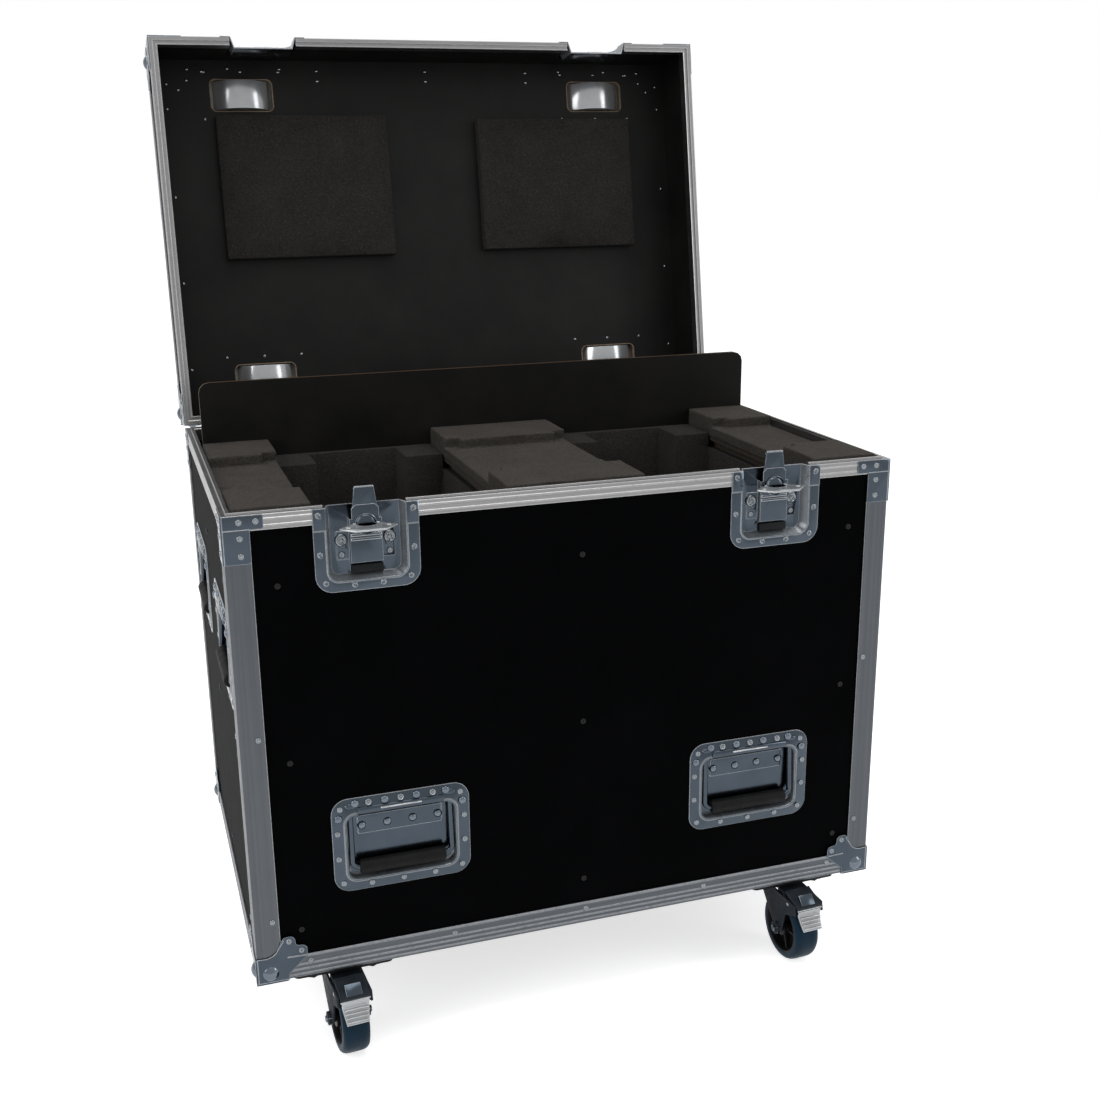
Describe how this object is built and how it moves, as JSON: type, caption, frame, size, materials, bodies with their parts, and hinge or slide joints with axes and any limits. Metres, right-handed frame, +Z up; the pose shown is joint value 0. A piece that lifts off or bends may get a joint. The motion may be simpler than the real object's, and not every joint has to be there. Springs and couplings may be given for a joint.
{
  "type": "lighting flight case",
  "caption": "Road case for stage lights: hinged lid, foam-lined wells, recessed butterfly latches, drop handles and swivel castors.",
  "frame": {"origin": "middle of the floor panel's underside", "axes": "+Z up, +Y from the latches to the hinge, +X to the right as seen from the front"},
  "size_m": [0.9132, 0.8516, 1.3492],
  "materials": {
    "aluminium": "satin extruded aluminium",
    "birch_ply": "bare birch ply",
    "black_laminate": "black laminated ply with a fine satin grain",
    "black_rubber": "black moulded grip on a plated rod",
    "black_steel": "dark painted steel",
    "blue_tyre": "dark blue rubber tyre on a black hub",
    "foam": "fine dark grey foam",
    "zinc_plated_steel": "bright blue-grey zinc plate"
  },
  "bodies": {
    "case": {"back_left_ball_corner": "zinc_plated_steel", "back_right_ball_corner": "zinc_plated_steel", "base_edge_frame": "aluminium", "base_floor_panel": "black_laminate", "base_rim_front": "aluminium", "base_wall_panels": "black_laminate", "divider_stop": "birch_ply", "foam_block_centre": "foam", "foam_block_left": "foam", "foam_block_right": "foam", "front_left_ball_corner": "zinc_plated_steel", "front_left_handle_dish": "zinc_plated_steel", "front_right_ball_corner": "zinc_plated_steel", "front_right_handle_dish": "zinc_plated_steel", "hinge_base_leaf": "zinc_plated_steel", "left_back_handle_dish": "zinc_plated_steel", "left_castor_board": "black_steel", "left_front_handle_dish": "zinc_plated_steel", "left_latch_dish": "zinc_plated_steel", "ply_insert": "birch_ply", "right_back_handle_dish": "zinc_plated_steel", "right_castor_board": "black_steel", "right_front_handle_dish": "zinc_plated_steel", "right_latch_dish": "zinc_plated_steel", "well_lining": "foam"},
    "lid": {"back_left_castor_dish": "zinc_plated_steel", "back_right_castor_dish": "zinc_plated_steel", "front_left_castor_dish": "zinc_plated_steel", "front_right_castor_dish": "zinc_plated_steel", "hinge_lid_leaf": "zinc_plated_steel", "left_keeper_dish": "zinc_plated_steel", "lid_edge_frame": "aluminium", "lid_foam_pad_left": "foam", "lid_foam_pad_right": "foam", "lid_panels": "black_laminate", "lid_rim_front": "aluminium", "right_keeper_dish": "zinc_plated_steel"},
    "divider": {"divider_board": "black_laminate"},
    "left_spindle": {"left_latch_spindle": "zinc_plated_steel"},
    "left_wing": {"left_latch_wing": "zinc_plated_steel"},
    "left_hook": {"left_latch_hook": "zinc_plated_steel"},
    "right_spindle": {"right_latch_spindle": "zinc_plated_steel"},
    "right_wing": {"right_latch_wing": "zinc_plated_steel"},
    "right_hook": {"right_latch_hook": "zinc_plated_steel"},
    "front_left_bail": {"front_left_handle_bail": "black_rubber"},
    "front_right_bail": {"front_right_handle_bail": "black_rubber"},
    "left_front_bail": {"left_front_handle_bail": "black_rubber"},
    "left_back_bail": {"left_back_handle_bail": "black_rubber"},
    "right_front_bail": {"right_front_handle_bail": "black_rubber"},
    "right_back_bail": {"right_back_handle_bail": "black_rubber"},
    "front_left_castor": {"front_left_castor_fork": "black_steel"},
    "front_left_wheel": {"front_left_castor_wheel": "blue_tyre"},
    "front_left_pedal": {"front_left_brake_pedal": "zinc_plated_steel"},
    "front_right_castor": {"front_right_castor_fork": "black_steel"},
    "front_right_wheel": {"front_right_castor_wheel": "blue_tyre"},
    "front_right_pedal": {"front_right_brake_pedal": "zinc_plated_steel"},
    "back_left_castor": {"back_left_castor_fork": "black_steel"},
    "back_left_wheel": {"back_left_castor_wheel": "blue_tyre"},
    "back_right_castor": {"back_right_castor_fork": "black_steel"},
    "back_right_wheel": {"back_right_castor_wheel": "blue_tyre"}
  },
  "joints": [
    {"name": "lid_hinge", "type": "hinge", "parent": "case", "child": "lid", "pos_m": [0, 0.2999, 0.62835], "axis": [-1, 0, 0], "range_deg": [-99.4, 0]},
    {"name": "divider_slide", "type": "slide", "parent": "case", "child": "divider", "axis": [0, 0, 1], "range_m": [0, 0.25]},
    {"name": "left_latch_turn", "type": "hinge", "parent": "case", "child": "left_spindle", "pos_m": [-0.2775, -0.296, 0.6036], "axis": [0, -1, 0], "range_deg": [-180, 0]},
    {"name": "left_wing_fold", "type": "hinge", "parent": "left_spindle", "child": "left_wing", "pos_m": [-0.2775, -0.2945, 0.6036], "axis": [-1, 0, 0], "range_deg": [-90, 0]},
    {"name": "left_hook_travel", "type": "slide", "parent": "case", "child": "left_hook", "axis": [0, -0.3162, 0.9487], "range_m": [-0.0095, 0]},
    {"name": "right_latch_turn", "type": "hinge", "parent": "case", "child": "right_spindle", "pos_m": [0.2775, -0.296, 0.6036], "axis": [0, -1, 0], "range_deg": [-180, 0]},
    {"name": "right_wing_fold", "type": "hinge", "parent": "right_spindle", "child": "right_wing", "pos_m": [0.2775, -0.2945, 0.6036], "axis": [-1, 0, 0], "range_deg": [-90, 0]},
    {"name": "right_hook_travel", "type": "slide", "parent": "case", "child": "right_hook", "axis": [0, -0.3162, 0.9487], "range_m": [-0.0095, 0]},
    {"name": "front_left_bail_lift", "type": "hinge", "parent": "case", "child": "front_left_bail", "pos_m": [-0.251, -0.2892, 0.2224], "axis": [-1, 0, 0], "range_deg": [0, 90], "stiffness_Nm_per_rad": 0.35, "springref_deg": -5.73},
    {"name": "front_right_bail_lift", "type": "hinge", "parent": "case", "child": "front_right_bail", "pos_m": [0.251, -0.2892, 0.2224], "axis": [-1, 0, 0], "range_deg": [0, 90], "stiffness_Nm_per_rad": 0.35, "springref_deg": -5.73},
    {"name": "left_front_bail_lift", "type": "hinge", "parent": "case", "child": "left_front_bail", "pos_m": [-0.4432, -0.17, 0.4759], "axis": [0, 1, 0], "range_deg": [0, 90], "stiffness_Nm_per_rad": 0.35, "springref_deg": -5.73},
    {"name": "left_back_bail_lift", "type": "hinge", "parent": "case", "child": "left_back_bail", "pos_m": [-0.4432, 0.138, 0.4759], "axis": [0, 1, 0], "range_deg": [0, 90], "stiffness_Nm_per_rad": 0.35, "springref_deg": -5.73},
    {"name": "right_front_bail_lift", "type": "hinge", "parent": "case", "child": "right_front_bail", "pos_m": [0.4432, -0.17, 0.4759], "axis": [0, -1, 0], "range_deg": [0, 90], "stiffness_Nm_per_rad": 0.35, "springref_deg": -5.73},
    {"name": "right_back_bail_lift", "type": "hinge", "parent": "case", "child": "right_back_bail", "pos_m": [0.4432, 0.138, 0.4759], "axis": [0, -1, 0], "range_deg": [0, 90], "stiffness_Nm_per_rad": 0.35, "springref_deg": -5.73},
    {"name": "front_left_castor_swivel", "type": "hinge", "parent": "case", "child": "front_left_castor", "pos_m": [-0.3357, -0.244, -0.0022], "axis": [0, 0, 1], "continuous": true},
    {"name": "front_left_wheel_roll", "type": "hinge", "parent": "front_left_castor", "child": "front_left_wheel", "pos_m": [-0.33312, -0.28091, -0.0819], "axis": [-0.9976, -0.0698, 0], "continuous": true},
    {"name": "front_left_brake_press", "type": "hinge", "parent": "front_left_castor", "child": "front_left_pedal", "pos_m": [-0.33137, -0.30585, -0.0297], "axis": [0.9976, 0.0698, 0], "range_deg": [0, 15]},
    {"name": "front_right_castor_swivel", "type": "hinge", "parent": "case", "child": "front_right_castor", "pos_m": [0.3357, -0.244, -0.0022], "axis": [0, 0, 1], "continuous": true},
    {"name": "front_right_wheel_roll", "type": "hinge", "parent": "front_right_castor", "child": "front_right_wheel", "pos_m": [0.33764, -0.28095, -0.0819], "axis": [-0.9986, -0.0523, 0], "continuous": true},
    {"name": "front_right_brake_press", "type": "hinge", "parent": "front_right_castor", "child": "front_right_pedal", "pos_m": [0.33894, -0.30591, -0.0297], "axis": [0.9986, 0.0523, 0], "range_deg": [0, 15]},
    {"name": "back_left_castor_swivel", "type": "hinge", "parent": "case", "child": "back_left_castor", "pos_m": [-0.3357, 0.244, -0.0022], "axis": [0, 0, 1], "continuous": true},
    {"name": "back_left_wheel_roll", "type": "hinge", "parent": "back_left_castor", "child": "back_left_wheel", "pos_m": [-0.32991, 0.28054, -0.0819], "axis": [0.9877, -0.1564, 0], "continuous": true},
    {"name": "back_right_castor_swivel", "type": "hinge", "parent": "case", "child": "back_right_castor", "pos_m": [0.3357, 0.244, -0.0022], "axis": [0, 0, 1], "continuous": true},
    {"name": "back_right_wheel_roll", "type": "hinge", "parent": "back_right_castor", "child": "back_right_wheel", "pos_m": [0.33183, 0.2808, -0.0819], "axis": [0.9945, 0.1045, 0], "continuous": true}
  ],
  "couplings": [
    {"joint": "left_hook_travel", "follows": "left_latch_turn", "m_per_rad": 0.0030198},
    {"joint": "right_hook_travel", "follows": "right_latch_turn", "m_per_rad": 0.0030198}
  ]
}
